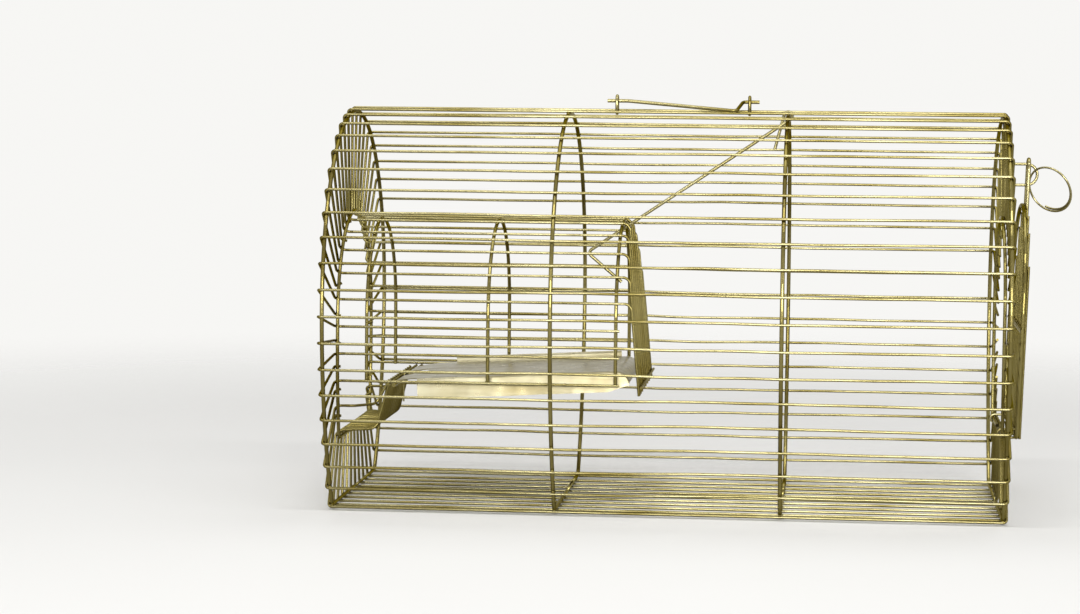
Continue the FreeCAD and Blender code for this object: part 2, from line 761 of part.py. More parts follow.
def side_sketch(body, name, edges, y=0.0):
    """Closed sketch of lines and arcs in the body's XZ plane, or beside it at the given y."""
    sketch = body.newObject("Sketcher::SketchObject", name)
    sketch.AttachmentSupport = (plane_of(body, "XZ_Plane"), [""])
    sketch.MapMode = "FlatFace"
    sketch.AttachmentOffset = FreeCAD.Placement(Vector(0, 0, -y), FreeCAD.Rotation())
    for edge in edges:
        sketch.addGeometry(edge, False)
    return sketch


def outline_edges(points):
    """Closed run of line segments through points given as (x, z)."""
    corners = [Vector(x, z, 0) for x, z in points]
    return [Part.LineSegment(start, end) for start, end in zip(corners, corners[1:] + corners[:1])]


def lip_outline(inset, lower):
    """Side outline: flat top and rounded lip, drawn in by the inset, closed through lower (x, z) points."""
    top = size.plate_rise - inset
    radius = size.plate_lip_radius - inset
    centre = Vector(size.plate_length - size.plate_lip_radius, size.plate_rise - size.plate_lip_radius, 0)
    lip_top = centre + Vector(0, radius, 0)
    lip_end = centre + Vector(radius, 0, 0)
    corners = [lip_end] + [Vector(x, z, 0) for x, z in lower] + [Vector(lower[-1][0], top, 0), lip_top]
    lines = [Part.LineSegment(start, end) for start, end in zip(corners, corners[1:])]
    return lines + [Part.ArcOfCircle(Part.Circle(centre, Vector(0, 0, 1), radius), 0, math.pi / 2)]


def across(body, kind, name, sketch, width_expression):
    """Pad or pocket of a side sketch, the same to both sides of the middle plane."""
    feature = body.newObject(kind, name)
    feature.Profile = sketch
    feature.Midplane = True
    feature.setExpression("Length", width_expression)
    return feature


plate_half_width = size.tunnel_half_width - size.plate_side_clearance
PLATE_WIDTH = "2 * (sizes.tunnel_half_width - sizes.plate_side_clearance)"
flange_bottom = size.plate_rise - size.plate_flange
far_below = flange_bottom - size.plate_flange
far_behind = size.plate_leaf_length - size.plate_flange
plate = doc.addObject("PartDesign::Body", "tilt_plate")
outside = lip_outline(0.0, [(size.plate_length - size.plate_corner_cut, flange_bottom),
                            (size.plate_leaf_length, flange_bottom)])
across(plate, "PartDesign::Pad", "plate_blank", side_sketch(plate, "plate_outline", outside),
       PLATE_WIDTH)
inside = lip_outline(size.plate_sheet, [(size.plate_length - size.plate_sheet, far_below),
                                        (far_behind, far_below)])
across(plate, "PartDesign::Pocket", "plate_hollow", side_sketch(plate, "plate_inside", inside),
       PLATE_WIDTH + " - 2 * sizes.plate_sheet")
knuckle_bore = size.pivot_wire_radius + size.pivot_clearance
knuckle_radius = knuckle_bore + size.plate_sheet
leaf = outline_edges([
    (0, knuckle_radius),
    (size.plate_leaf_length, size.plate_rise),
    (size.plate_leaf_length + size.plate_sheet, size.plate_rise),
    (size.plate_leaf_length + size.plate_sheet, size.plate_rise - size.plate_sheet),
    (size.plate_leaf_length, size.plate_rise - size.plate_sheet),
    (0, knuckle_bore),
])
across(plate, "PartDesign::Pad", "plate_leaf", side_sketch(plate, "leaf_outline", leaf),
       PLATE_WIDTH + " - 2 * sizes.knuckle_inset")
for name, kind, radius in (("knuckle", "PartDesign::Pad", knuckle_radius),
                           ("knuckle_bore", "PartDesign::Pocket", knuckle_bore)):
    circle = side_sketch(plate, name + "_outline", [Part.Circle(Vector(0, 0, 0), Vector(0, 0, 1), radius)])
    across(plate, kind, name, circle, PLATE_WIDTH + " - 2 * sizes.knuckle_inset")
notch = spring_outer_radius + size.knuckle_notch_margin
notch_end = size.plate_leaf_length - size.knuckle_notch_margin
notch_outline = outline_edges([(-notch, -notch), (notch_end, -notch), (notch_end, notch), (-notch, notch)])
across(plate, "PartDesign::Pocket", "knuckle_notch", side_sketch(plate, "notch_outline", notch_outline),
       "sizes.knuckle_gap")
hem_start = size.plate_leaf_length + size.plate_hem_start
hem_end = size.plate_length - size.plate_hem_end
hem_outline = outline_edges([
    (hem_start - size.plate_hem, size.plate_rise - size.plate_sheet),
    (hem_end, size.plate_rise - size.plate_sheet),
    (hem_end - size.plate_hem, size.plate_rise + size.plate_hem),
    (hem_start, size.plate_rise + size.plate_hem),
])
hem_y = plate_half_width - size.plate_sheet
hem = plate.newObject("PartDesign::Pad", "plate_hem")
hem.Profile = side_sketch(plate, "hem_outline", hem_outline, hem_y)
hem.setExpression("Length", "sizes.plate_sheet")
plate.Placement = FreeCAD.Placement(pivot, FreeCAD.Rotation(Vector(0, 1, 0), -size.plate_slope))
keep("tilt_plate", [plate])


# Bait hook: curled once over the rear middle hoop, its point inside the end of the tunnel

hook_y = -size.hook_offset
hoop_centre_z = cage_outline["centre_z"]
hook_hoop = Vector(HOOP_PLACES["rear_middle_hoop"], hook_y,
                   hoop_centre_z + math.sqrt(size.arch_radius ** 2 - hook_y ** 2))
curl_radius = size.hoop_wire_radius + size.hook_crest_clearance + size.hook_wire_radius
hook_corner = Vector(grille_top_x - size.hook_grille_inset, hook_y,
                     size.tunnel_top_z - size.hook_tunnel_drop)
hook_point = hook_corner + Vector(size.hook_point_run, 0, -size.hook_point_drop)
run = hook_hoop - hook_corner
run_angle = math.atan2(run.z, run.x) - math.asin(curl_radius / run.Length)
curl_start = run_angle - math.pi / 2
curl_end = math.pi + math.atan2(size.hook_tail_lean, size.hook_tail)
CURL_STEPS = 8
STEP_MIDDLE_SHARE = 0.5
half_step = (curl_end - curl_start) / CURL_STEPS / 2
curl = []
for index in range(CURL_STEPS):
    angle = curl_start + (2 * index + 1) * half_step
    reach = curl_radius / math.cos(half_step)
    side_shift = size.hook_tail_side_step * (index + STEP_MIDDLE_SHARE) / CURL_STEPS
    curl.append(hook_hoop + Vector(reach * math.cos(angle), side_shift, reach * math.sin(angle)))
tail_start = hook_hoop + Vector(curl_radius * math.cos(curl_end), size.hook_tail_side_step,
                                curl_radius * math.sin(curl_end))
tail_end = tail_start + Vector(-size.hook_tail_lean, 0, -size.hook_tail)
point_points = softened([hook_point, hook_corner, curl[0]], size.hook_bend_radius)
keep("bait_hook", [swept("bait_hook", point_points + curl[1:] + [tail_end], "hook_wire_radius")])


# Carrying handle: folding bail in two wire eyes that stand on the crest bar

crest_z = crest_place.z
eye_radius = size.handle_eye_inner_radius + size.handle_eye_wire_radius
eye_low_z = crest_z - size.bar_radius + size.handle_eye_inner_radius
eye_high_z = eye_low_z + size.handle_eye_height
for label, x in (("handle_front_eye", size.handle_front_eye_x), ("handle_rear_eye", size.handle_rear_eye_x)):
    low = Vector(x, 0, eye_low_z)
    high = Vector(x, 0, eye_high_z)
    keep(label, [swept(label, long_loop(low, high, Vector(0, eye_radius, 0)), "handle_eye_wire_radius")])

outer_bar_radius = size.arch_radius + HOOP_TOUCH + size.bar_radius
rest_radius = outer_bar_radius + size.handle_wire_radius + size.handle_seat_gap
axis_height = eye_high_z - hoop_centre_z
rest_dip = math.asin((size.handle_reach ** 2 + axis_height ** 2 - rest_radius ** 2)
                     / (2 * size.handle_reach * axis_height))


def handle_point(x, reach):
    """Point of the folded bail at a reach from its axis."""
    return Vector(x, -reach * math.cos(rest_dip), eye_high_z - reach * math.sin(rest_dip))


handle_points = softened([
    handle_point(size.handle_front_eye_x - size.handle_end_overhang, 0),
    handle_point(size.handle_front_eye_x + size.handle_front_run, 0),
    handle_point(size.handle_rear_eye_x - size.handle_rear_run, size.handle_reach),
    handle_point(size.handle_rear_eye_x - size.handle_rear_hook, 0),
    handle_point(size.handle_rear_eye_x + size.handle_end_overhang, 0),
], size.handle_bend_radius)
keep("carry_handle", [swept("carry_handle", handle_points, "handle_wire_radius")])

doc.recompute()


# Every piece is checked before any file is written

for item in doc.Objects:
    if "Invalid" in item.State or "Error" in item.State:
        raise RuntimeError(f"{item.Label} did not compute")
for node in nodes:
    if node.Shape.isNull() or not node.Shape.isValid():
        raise RuntimeError(f"{node.Label} has no valid shape")
for node in nodes:
    node.Shape.exportStep(f"parts/{node.Label}.step")
    print(node.Label, len(node.Shape.Solids), round(node.Shape.Volume, 1))
print("folded handle: dip below level in degrees", round(math.degrees(rest_dip), 2))
print("pivot of the plate", round(pivot_x, 3), round(pivot_z, 3))
print("axis of the handle", round(eye_high_z, 3))
print("seat of the ring", round(seat.x, 3), round(seat.z, 3))
print("crest of the hook's hoop", round(hook_hoop.x, 3), round(hook_hoop.z, 3))
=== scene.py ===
import bmesh
import bpy
import math
from mathutils import Matrix, Vector, noise


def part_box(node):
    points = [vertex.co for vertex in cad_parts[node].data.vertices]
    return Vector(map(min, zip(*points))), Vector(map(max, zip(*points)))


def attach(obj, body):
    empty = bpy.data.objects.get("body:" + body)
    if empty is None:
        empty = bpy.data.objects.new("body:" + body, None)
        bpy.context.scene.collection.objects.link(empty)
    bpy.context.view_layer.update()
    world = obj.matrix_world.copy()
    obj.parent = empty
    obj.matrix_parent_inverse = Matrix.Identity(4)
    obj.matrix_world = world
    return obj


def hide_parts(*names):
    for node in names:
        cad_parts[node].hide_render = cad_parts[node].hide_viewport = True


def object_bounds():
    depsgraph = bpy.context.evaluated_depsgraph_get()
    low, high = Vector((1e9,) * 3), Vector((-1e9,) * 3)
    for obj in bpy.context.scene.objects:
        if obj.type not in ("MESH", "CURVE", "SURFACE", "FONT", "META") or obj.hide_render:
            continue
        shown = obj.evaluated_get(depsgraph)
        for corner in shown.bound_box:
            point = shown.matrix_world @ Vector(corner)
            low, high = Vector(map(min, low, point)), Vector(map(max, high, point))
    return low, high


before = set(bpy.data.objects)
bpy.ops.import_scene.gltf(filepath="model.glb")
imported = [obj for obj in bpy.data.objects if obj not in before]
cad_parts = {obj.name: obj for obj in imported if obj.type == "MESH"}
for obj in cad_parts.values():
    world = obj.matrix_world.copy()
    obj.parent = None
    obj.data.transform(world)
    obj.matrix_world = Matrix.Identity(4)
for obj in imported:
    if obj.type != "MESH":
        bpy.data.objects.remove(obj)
cad_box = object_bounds()

# Half-round wire cage trap for rats, with a tilting plate, a bait hook, a carrying handle and a rear door.
# Metres. +X runs from the entry end to the door end, +Z is up, the right side is -Y.


# Body hoops
# Four rings of 2.5 mm steel wire, bent to an arch with a flat foot and butt welded in the floor.
# Their thin zinc coat is passivated to a brassy olive, shiny on top from the lamps and darker where it was
# handled.

HOOP_GAUGE = 0.00125
HOOP_BEND = 0.006
SEAM_REACH = 1e-6
RING_EDGE_STRETCH = 1.12
ARC_TURN = math.radians(35)


def joined_groups(verts, reach=math.inf):
    """The vertices in groups that are joined by edges shorter than the reach."""
    left = set(verts)
    groups = []
    while left:
        group = {left.pop()}
        fresh = set(group)
        while fresh:
            fresh = {edge.other_vert(vert) for vert in fresh for edge in vert.link_edges
                     if edge.calc_length() < reach} & left
            left -= fresh
            group |= fresh
        groups.append(group)
    return groups


def around(verts):
    return {edge.other_vert(vert) for vert in verts for edge in vert.link_edges} - verts


def rings_of(wire_verts, sides, ring_edge):
    """Section rings of one wire in order along it, and whether it is closed."""
    even = [group for group in joined_groups(wire_verts, ring_edge * RING_EDGE_STRETCH)
            if len(group) == sides]
    first = even[0]
    seen = set(first)
    runs = []
    for onward in joined_groups(around(first)):
        run = []
        while onward and not onward & seen:
            run.append(onward)
            seen |= onward
            onward = around(onward) - seen
        runs.append(run)
    closed = len(runs) == 2 and not runs[1]
    if len(runs) == 1:
        runs.append([])
    return runs[1][::-1] + [first] + runs[0], closed


def in_order(points, closed):
    """The points of a line read the same way each time: from the end or corner with the least values."""
    keys = [tuple(round(value, 5) for value in point) for point in points]
    if closed:
        least = keys.index(min(keys))
        points = points[least:] + points[:least]
        if keys[least - 1] < keys[(least + 1) % len(keys)]:
            points = points[:1] + points[:0:-1]
    elif keys[-1] < keys[0]:
        points = points[::-1]
    return points


def centre_lines(node, gauge, sides):
    """Corner points along each wire of a CAD node, and whether the wire is closed."""
    bm = bmesh.new()
    bm.from_mesh(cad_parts[node].data)
    bmesh.ops.remove_doubles(bm, verts=bm.verts, dist=SEAM_REACH)
    ring_edge = 2 * gauge * math.sin(math.pi / sides)
    lines = []
    for wire_verts in joined_groups(bm.verts):
        rings, closed = rings_of(wire_verts, sides, ring_edge)
        if any(len(ring) != sides for ring in rings):
            raise ValueError(f"{node} has uneven section rings")
        points = [sum((vert.co for vert in ring), Vector()) / sides for ring in rings]
        for point in points:
            point.y = min(max(point.y, gauge - cad_box[1][1]), cad_box[1][1] - gauge)
        lines.append((in_order(points, closed), closed))
    bm.free()
    lines.sort(key=lambda line: tuple(round(value, 5) for value in line[0][0]))
    return lines


def turn_at(before, here, after):
    return (here - before).angle(after - here)


def rounded(points, closed):
    """The same line with a point on the arc between every two gentle turns."""
    count = len(points)
    result = []
    for index, point in enumerate(points):
        result.append(point)
        if not closed and index in (0, count - 2, count - 1):
            continue
        before = points[index - 1]
        after = points[(index + 1) % count]
        beyond = points[(index + 2) % count]
        turns = (turn_at(before, point, after), turn_at(point, after, beyond))
        if min(turns) < SEAM_REACH or max(turns) > ARC_TURN:
            continue
        outward = ((point - before).normalized() - (beyond - after).normalized()).normalized()
        rise = (after - point).length / 2 * math.tan(min(turns) / 4)
        result.append((point + after) / 2 + outward * rise)
    return result


def wire_tree():
    """Geometry nodes that turn lines into bent round wire with closed ends."""
    tree = bpy.data.node_groups.new("drawn_wire", "GeometryNodeTree")
    face = tree.interface
    face.new_socket("Lines", in_out="INPUT", socket_type="NodeSocketGeometry")
    for name in ("Gauge", "Bend Radius", "Sway", "Sway Scale"):
        face.new_socket(name, in_out="INPUT", socket_type="NodeSocketFloat")
    for name in ("Bend Steps", "Sides", "Cuts", "Seed"):
        face.new_socket(name, in_out="INPUT", socket_type="NodeSocketInt")
    face.new_socket("Material", in_out="INPUT", socket_type="NodeSocketMaterial")
    face.new_socket("Wire", in_out="OUTPUT", socket_type="NodeSocketGeometry")
    nodes, link = tree.nodes, tree.links.new
    given = nodes.new("NodeGroupInput").outputs
    curve = nodes.new("GeometryNodeMeshToCurve")
    link(given["Lines"], curve.inputs["Mesh"])
    fillet = nodes.new("GeometryNodeFilletCurve")
    fillet.mode = "POLY"
    fillet.inputs["Limit Radius"].default_value = True
    link(curve.outputs["Curve"], fillet.inputs["Curve"])
    link(given["Bend Radius"], fillet.inputs["Radius"])
    link(given["Bend Steps"], fillet.inputs["Count"])
    cuts = nodes.new("GeometryNodeSubdivideCurve")
    link(fillet.outputs["Curve"], cuts.inputs["Curve"])
    link(given["Cuts"], cuts.inputs["Cuts"])

    noise = nodes.new("ShaderNodeTexNoise")
    noise.noise_dimensions = "4D"
    place = nodes.new("GeometryNodeInputPosition")
    link(place.outputs["Position"], noise.inputs["Vector"])
    link(given["Sway Scale"], noise.inputs["Scale"])
    link(given["Seed"], noise.inputs["W"])
    centred = nodes.new("ShaderNodeMath")
    centred.operation = "SUBTRACT"
    centred.inputs[1].default_value = 0.5
    link(noise.outputs["Fac"], centred.inputs[0])
    strength = nodes.new("ShaderNodeMath")
    strength.operation = "MULTIPLY"
    link(centred.outputs["Value"], strength.inputs[0])
    link(given["Sway"], strength.inputs[1])
    along = nodes.new("GeometryNodeSplineParameter")
    taper = nodes.new("ShaderNodeMath")
    taper.operation = "PINGPONG"
    taper.inputs[1].default_value = 0.5
    link(along.outputs["Factor"], taper.inputs[0])
    tapered = nodes.new("ShaderNodeMath")
    tapered.operation = "MULTIPLY"
    link(strength.outputs["Value"], tapered.inputs[0])
    link(taper.outputs["Value"], tapered.inputs[1])
    sideways = nodes.new("GeometryNodeInputNamedAttribute")
    sideways.data_type = "FLOAT_VECTOR"
    sideways.inputs["Name"].default_value = "sideways"
    shift = nodes.new("ShaderNodeVectorMath")
    shift.operation = "SCALE"
    link(sideways.outputs["Attribute"], shift.inputs["Vector"])
    link(tapered.outputs["Value"], shift.inputs["Scale"])
    swayed = nodes.new("GeometryNodeSetPosition")
    link(cuts.outputs["Curve"], swayed.inputs["Geometry"])
    link(shift.outputs["Vector"], swayed.inputs["Offset"])

    section = nodes.new("GeometryNodeCurvePrimitiveCircle")
    link(given["Sides"], section.inputs["Resolution"])
    link(given["Gauge"], section.inputs["Radius"])
    tube = nodes.new("GeometryNodeCurveToMesh")
    tube.inputs["Fill Caps"].default_value = True
    link(swayed.outputs["Geometry"], tube.inputs["Curve"])
    link(section.outputs["Curve"], tube.inputs["Profile Curve"])
    whole = nodes.new("GeometryNodeRealizeInstances")
    link(tube.outputs["Mesh"], whole.inputs["Geometry"])
    coat = nodes.new("GeometryNodeSetMaterial")
    link(whole.outputs["Geometry"], coat.inputs["Geometry"])
    link(given["Material"], coat.inputs["Material"])
    link(coat.outputs["Geometry"], nodes.new("NodeGroupOutput").inputs["Wire"])
    return tree


def evaluated_mesh(name, start_mesh, tree, values):
    """Plain mesh object made by running the tree on a starting mesh."""
    thing = bpy.data.objects.new(name, start_mesh)
    bpy.context.scene.collection.objects.link(thing)
    modifier = thing.modifiers.new("make", "NODES")
    modifier.node_group = tree
    for item in tree.interface.items_tree:
        if item.in_out == "INPUT" and item.name in values:
            modifier[item.identifier] = values[item.name]
    depsgraph = bpy.context.evaluated_depsgraph_get()
    made = bpy.data.meshes.new_from_object(thing.evaluated_get(depsgraph), depsgraph=depsgraph)
    thing.modifiers.remove(modifier)
    thing.data = made
    made.name = name
    return thing


WIRE_TREE = wire_tree()


def line_mesh(name, lines, sideways=None):
    """Mesh of bare edges along the lines, with the direction in which each wire may sway."""
    points = []
    edges = []
    directions = []
    for line, closed in lines:
        first = len(points)
        points += line
        edges += [(first + index, first + index + 1) for index in range(len(line) - 1)]
        if closed:
            edges.append((len(points) - 1, first))
        direction = sideways(line) if sideways else Vector()
        directions += [direction] * len(line)
    mesh = bpy.data.meshes.new(name)
    mesh.from_pydata(points, edges, [])
    attribute = mesh.attributes.new("sideways", "FLOAT_VECTOR", "POINT")
    attribute.data.foreach_set("vector", [value for direction in directions for value in direction])
    return mesh


def smooth_shaded(thing):
    """Round sides shaded smooth and cut ends left crisp."""
    thing.data.shade_smooth()
    bm = bmesh.new()
    bm.from_mesh(thing.data)
    bmesh.ops.remove_doubles(bm, verts=bm.verts, dist=SEAM_REACH)
    bmesh.ops.recalc_face_normals(bm, faces=bm.faces)
    for cap in bm.faces:
        if len(cap.verts) > 4:
            cap.smooth = False
            for edge in cap.edges:
                edge.smooth = False
    bm.to_mesh(thing.data)
    bm.free()


def wire(name, lines, gauge, bend, material, body, replaces, sides=12, bend_steps=4, cuts=0,
         sway=0.0, sway_scale=20.0, seed=0, sideways=None):
    """Round wire along the lines, riding on a body in place of the CAD nodes."""
    thing = evaluated_mesh(name, line_mesh(name, lines, sideways), WIRE_TREE, {
        "Gauge": gauge, "Bend Radius": bend, "Bend Steps": bend_steps, "Sides": sides, "Cuts": cuts,
        "Sway": sway, "Sway Scale": sway_scale, "Seed": seed, "Material": material,
    })
    smooth_shaded(thing)
    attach(thing, body)
    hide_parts(*replaces)
    return thing


def plated(name, pale, deep, roughness, patch_scale=18.0, pits=0.05):
    """Zinc plated wire: two metal tones in soft patches, drawing marks and a roughness that varies."""
    material = bpy.data.materials.new(name)
    material.use_nodes = True
    nodes, link = material.node_tree.nodes, material.node_tree.links.new
    shader = nodes["Principled BSDF"]
    shader.inputs["Metallic"].default_value = 1.0
    shader.inputs["Specular Tint"].default_value = (0.45, 0.40, 0.20, 1.0)
    coordinates = nodes.new("ShaderNodeTexCoord")
    patches = nodes.new("ShaderNodeTexNoise")
    patches.inputs["Scale"].default_value = patch_scale
    patches.inputs["Detail"].default_value = 3.0
    link(coordinates.outputs["Object"], patches.inputs["Vector"])
    tones = nodes.new("ShaderNodeValToRGB")
    tones.color_ramp.elements[0].position = 0.34
    tones.color_ramp.elements[0].color = (*deep, 1.0)
    tones.color_ramp.elements[1].position = 0.66
    tones.color_ramp.elements[1].color = (*pale, 1.0)
    link(patches.outputs["Fac"], tones.inputs["Fac"])
    link(tones.outputs["Color"], shader.inputs["Base Color"])
    rough = nodes.new("ShaderNodeMapRange")
    rough.inputs["From Min"].default_value = 0.3
    rough.inputs["From Max"].default_value = 0.7
    rough.inputs["To Min"].default_value = roughness + 0.14
    rough.inputs["To Max"].default_value = roughness
    link(patches.outputs["Fac"], rough.inputs["Value"])
    link(rough.outputs["Result"], shader.inputs["Roughness"])
    grain = nodes.new("ShaderNodeTexNoise")
    grain.inputs["Scale"].default_value = 260.0
    grain.inputs["Detail"].default_value = 2.0
    link(coordinates.outputs["Object"], grain.inputs["Vector"])
    bump = nodes.new("ShaderNodeBump")
    bump.inputs["Strength"].default_value = pits
    bump.inputs["Distance"].default_value = 0.00003
    link(grain.outputs["Fac"], bump.inputs["Height"])
    link(bump.outputs["Normal"], shader.inputs["Normal"])
    return material


HOOP_NODES = ("front_end_hoop", "front_middle_hoop", "rear_middle_hoop", "rear_end_hoop")
WIRE_SIDES = 6
# Darker copy of the plated wire coat: painted shade, put mostly on wire that stands upright, such as the
# hoops, face wires, grille and door.
shaded_wire_coat = plated("shaded_wire_coat", pale=(0.235, 0.20, 0.075), deep=(0.098, 0.075, 0.016), roughness=0.15)
hoop_lines = {}
for node in HOOP_NODES:
    hoop_lines[node] = [(rounded(points, closed), closed)
                        for points, closed in centre_lines(node, HOOP_GAUGE, WIRE_SIDES)]
    wire(node + "_wire", hoop_lines[node], HOOP_GAUGE, HOOP_BEND, shaded_wire_coat, "cage", [node])


# Long bars
# Fifty straightened lengths of 1.7 mm wire, resistance welded across the outside of the hoops.
# Handling leaves each a little off straight between the hoops.

BAR_GAUGE = 0.00085
BAR_SWAY = 0.011
BAR_CUTS = 40
CORNER_RISE = 0.006
FLOOR_HALF = 0.075
WIDEST_SHARE = 0.96
# Paler copy of the same plated wire coat: painted light on the long bars and other wires that catch the
# light from above.
lit_wire_coat = plated("lit_wire_coat", pale=(0.36, 0.325, 0.175), deep=(0.17, 0.138, 0.042), roughness=0.13)


def along_outline(line):
    """Direction along the cage's outline, across the bar, at a long bar's place."""
    low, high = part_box("front_end_hoop")
    place = line[0]
    if place.z < CORNER_RISE:
        return Vector((0, 1, 0)) if abs(place.y) < FLOOR_HALF else Vector()
    if abs(place.y) > WIDEST_SHARE * high[1]:
        return Vector((0, 0, 1))
    radial = Vector((0, place.y, max(place.z - (high[2] - high[1]), 0)))
    return Vector((1, 0, 0)).cross(radial).normalized()


long_bars = {}
for seed, node in enumerate(("crest_bar", "right_side_bars", "left_side_bars", "floor_bars")):
    long_bars[node] = centre_lines(node, BAR_GAUGE, WIRE_SIDES)
    wire(node + "_wire", long_bars[node], BAR_GAUGE, 0.0, lit_wire_coat, "cage", [node], sides=10,
         cuts=BAR_CUTS, sway=BAR_SWAY, sway_scale=9.0, seed=seed, sideways=along_outline)


# Weld beads
# Where a bar crosses a hoop the two are pressed together red hot, and a little metal is squeezed out.

BEAD_REACH = 0.0011
BEAD_FLATNESS = 0.62


def bead_tree():
    """Geometry nodes that put a squeezed bead of uneven size on every point."""
    tree = bpy.data.node_groups.new("weld_beads", "GeometryNodeTree")
    face = tree.interface
    face.new_socket("Places", in_out="INPUT", socket_type="NodeSocketGeometry")
    face.new_socket("Reach", in_out="INPUT", socket_type="NodeSocketFloat")
    face.new_socket("Flatness", in_out="INPUT", socket_type="NodeSocketFloat")
    face.new_socket("Seed", in_out="INPUT", socket_type="NodeSocketInt")
    face.new_socket("Material", in_out="INPUT", socket_type="NodeSocketMaterial")
    face.new_socket("Beads", in_out="OUTPUT", socket_type="NodeSocketGeometry")
    nodes, link = tree.nodes, tree.links.new
    given = nodes.new("NodeGroupInput").outputs
    ball = nodes.new("GeometryNodeMeshUVSphere")
    ball.inputs["Segments"].default_value = 8
    ball.inputs["Rings"].default_value = 5
    link(given["Reach"], ball.inputs["Radius"])
    sizes = nodes.new("FunctionNodeRandomValue")
    sizes.data_type = "FLOAT"
    sizes.inputs["Min"].default_value = 0.8
    sizes.inputs["Max"].default_value = 1.15
    link(given["Seed"], sizes.inputs["Seed"])
    shape = nodes.new("ShaderNodeCombineXYZ")
    shape.inputs["X"].default_value = 1.0
    shape.inputs["Y"].default_value = 1.0
    link(given["Flatness"], shape.inputs["Z"])
    scale = nodes.new("ShaderNodeVectorMath")
    scale.operation = "SCALE"
    link(shape.outputs["Vector"], scale.inputs["Vector"])
    link(sizes.outputs["Value"], scale.inputs["Scale"])
    facing = nodes.new("GeometryNodeInputNamedAttribute")
    facing.data_type = "FLOAT_VECTOR"
    facing.inputs["Name"].default_value = "facing"
    turn = nodes.new("FunctionNodeAlignRotationToVector")
    link(facing.outputs["Attribute"], turn.inputs["Vector"])
    placed = nodes.new("GeometryNodeInstanceOnPoints")
    link(given["Places"], placed.inputs["Points"])
    link(ball.outputs["Mesh"], placed.inputs["Instance"])
    link(turn.outputs["Rotation"], placed.inputs["Rotation"])
    link(scale.outputs["Vector"], placed.inputs["Scale"])
    whole = nodes.new("GeometryNodeRealizeInstances")
    link(placed.outputs["Instances"], whole.inputs["Geometry"])
    coat = nodes.new("GeometryNodeSetMaterial")
    link(whole.outputs["Geometry"], coat.inputs["Geometry"])
    link(given["Material"], coat.inputs["Material"])
    link(coat.outputs["Geometry"], nodes.new("NodeGroupOutput").inputs["Beads"])
    return tree


def crossings(bars, hoops, gauge, reach):
    """Places where bars along X touch hoops, with the direction from hoop to bar."""
    found = []
    for bar_line, _ in bars:
        place = bar_line[0]
        for hoop_line, _ in hoops:
            nearest = min(hoop_line, key=lambda corner: math.hypot(corner.y - place.y, corner.z - place.z))
            away = Vector((0, place.y - nearest.y, place.z - nearest.z))
            if away.length < reach:
                facing = away.normalized()
                found.append((Vector((nearest.x, place.y, place.z)) - facing * gauge, facing))
    return found


def beads(name, welds, reach, material, body, seed):
    """One mesh of weld beads, riding on a body."""
    mesh = bpy.data.meshes.new(name)
    mesh.from_pydata([place for place, _ in welds], [], [])
    attribute = mesh.attributes.new("facing", "FLOAT_VECTOR", "POINT")
    attribute.data.foreach_set("vector", [value for _, facing in welds for value in facing])
    thing = evaluated_mesh(name, mesh, BEAD_TREE, {
        "Reach": reach, "Flatness": BEAD_FLATNESS, "Seed": seed, "Material": material})
    thing.data.shade_smooth()
    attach(thing, body)


BEAD_TREE = bead_tree()
cage_bars = [line for lines in long_bars.values() for line in lines]
cage_hoops = [line for lines in hoop_lines.values() for line in lines]
beads("cage_weld_beads", crossings(cage_bars, cage_hoops, BAR_GAUGE, 0.006), BEAD_REACH, shaded_wire_coat, "cage",
      4)


# Front face wires and mouth ring
# The long bars turn over the end hoop and run inwards. Every second one turns into the tunnel, and the
# others are cut off just past the mouth ring, welded to its outside.

BAR_BEND = 0.004
RING_GAUGE = 0.0011
BARB_REACH = 0.0036
BARB_SLANT = 0.0022
MOUTH_HEIGHT = 0.12
AHEAD = Vector((1, 0, 0))


def barbed(lines):
    """The face wires, with every end that was cut off at the ring pressed inwards to a short barb."""
    result = []
    for index, (points, closed) in enumerate(lines):
        away = [math.hypot(points[end].y, points[end].z - MOUTH_HEIGHT) for end in (0, -1)]
        if away[0] < away[1]:
            points = points[::-1]
        run = points[-1] - points[-2]
        if run.normalized().dot(AHEAD) < 0.5:
            slant = Vector((0, 0, BARB_SLANT * math.sin(5 * index)))
            onward = run.normalized() * RING_GAUGE
            points = points + [points[-1] + onward, points[-1] + onward + AHEAD * BARB_REACH + slant]
        result.append((points, closed))
    return result


# The face wires are the long bars bent inwards, but they take the darker coat: painted shade on upright
# wire.
for node in ("front_face_wire_crest", "front_face_wires_right", "front_face_wires_left"):
    wire(node + "_bent", barbed(centre_lines(node, BAR_GAUGE, WIRE_SIDES)), BAR_GAUGE, BAR_BEND, shaded_wire_coat,
         "cage", [node], sides=10)
wire("front_face_wires_lower_bent", centre_lines("front_face_wires_lower", BAR_GAUGE, WIRE_SIDES), BAR_GAUGE,
     BAR_BEND, shaded_wire_coat, "cage", ["front_face_wires_lower"], sides=10)
mouth_lines = [(rounded(points, closed), closed)
               for points, closed in centre_lines("mouth_ring", RING_GAUGE, WIRE_SIDES)]
wire("mouth_ring_wire", mouth_lines, RING_GAUGE, BAR_BEND, shaded_wire_coat, "cage", ["mouth_ring"])


# Entry step
# The lower face wires run inwards as a step and rise to the plate's pivot, tied by two side rails and a
# crossbar.

STEP_BEND = 0.005
for node in ("entry_step_bars", "entry_riser_bars", "entry_step_rails", "riser_crossbar"):
    wire(node + "_bent", centre_lines(node, BAR_GAUGE, WIRE_SIDES), BAR_GAUGE, STEP_BEND, shaded_wire_coat, "cage",
         [node], sides=10)


# Tunnel and end grille
# Bars that carry on from the mouth, on three small hoops, and bend down at the end into a leaning grille.

